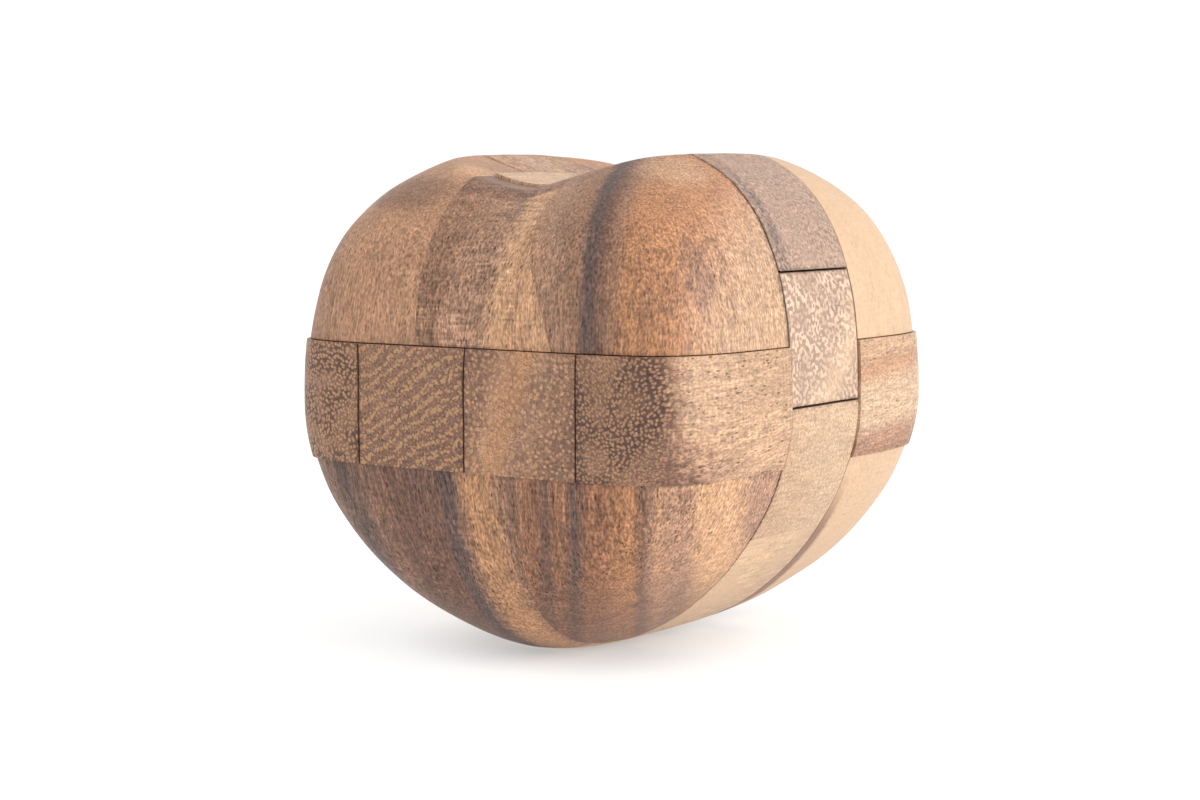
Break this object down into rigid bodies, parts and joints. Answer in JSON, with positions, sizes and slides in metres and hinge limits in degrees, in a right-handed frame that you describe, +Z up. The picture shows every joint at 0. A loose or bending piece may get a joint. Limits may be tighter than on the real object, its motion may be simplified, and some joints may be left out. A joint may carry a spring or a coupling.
{
  "type": "wooden burr puzzle",
  "caption": "Heart-shaped interlocking burr puzzle of glued wooden blocks on crossed square sticks, unlocked by a plain key stick that slides out sideways.",
  "frame": {"origin": "bottom centre of the object's box: the flat foot is at height zero, and the centre where the sticks cross is straight above the origin", "axes": "+X to the right along the key stick, +Y from the front band to the back, +Z up towards the lobes"},
  "size_m": [0.084, 0.088, 0.0836],
  "materials": {
    "brown_wood": "satin, sanded, open pores",
    "golden_wood": "satin, brushed straight grain",
    "dark_wood": "satin, dark streaks",
    "end_grain_wood": "satin end grain with pale dots",
    "pale_end_grain_wood": "satin pale mottled end grain",
    "grey_beige_wood": "matt fine end grain",
    "sapwood_wood": "satin pale sapwood"
  },
  "bodies": {
    "puzzle": {"lower_cross_stick": "grey_beige_wood", "left_depth_stick": "end_grain_wood", "right_depth_stick": "end_grain_wood", "front_upright_stick": "golden_wood", "back_upright_stick": "golden_wood", "front_left_upper_corner": "brown_wood", "front_left_lower_corner": "dark_wood", "front_right_upper_corner": "brown_wood", "front_right_lower_corner": "dark_wood", "back_left_upper_corner": "brown_wood", "back_left_lower_corner": "golden_wood", "back_right_upper_corner": "sapwood_wood", "back_right_lower_corner": "sapwood_wood", "band_block_front_left": "dark_wood", "band_block_front_right": "end_grain_wood", "band_block_back_left": "brown_wood", "band_block_back_right": "sapwood_wood", "strap_block_upper_left": "dark_wood", "strap_block_upper_right": "dark_wood", "strap_block_lower_left": "golden_wood", "strap_block_lower_right": "grey_beige_wood", "strip_block_front_upper": "golden_wood", "strip_block_front_lower": "golden_wood", "strip_block_back_upper": "golden_wood", "strip_block_back_lower": "golden_wood"},
    "key": {"key_stick": "pale_end_grain_wood"}
  },
  "joints": [
    {"name": "key_slide", "type": "slide", "parent": "puzzle", "child": "key", "axis": [1, 0, 0], "range_m": [-0.09, 0.09]}
  ]
}
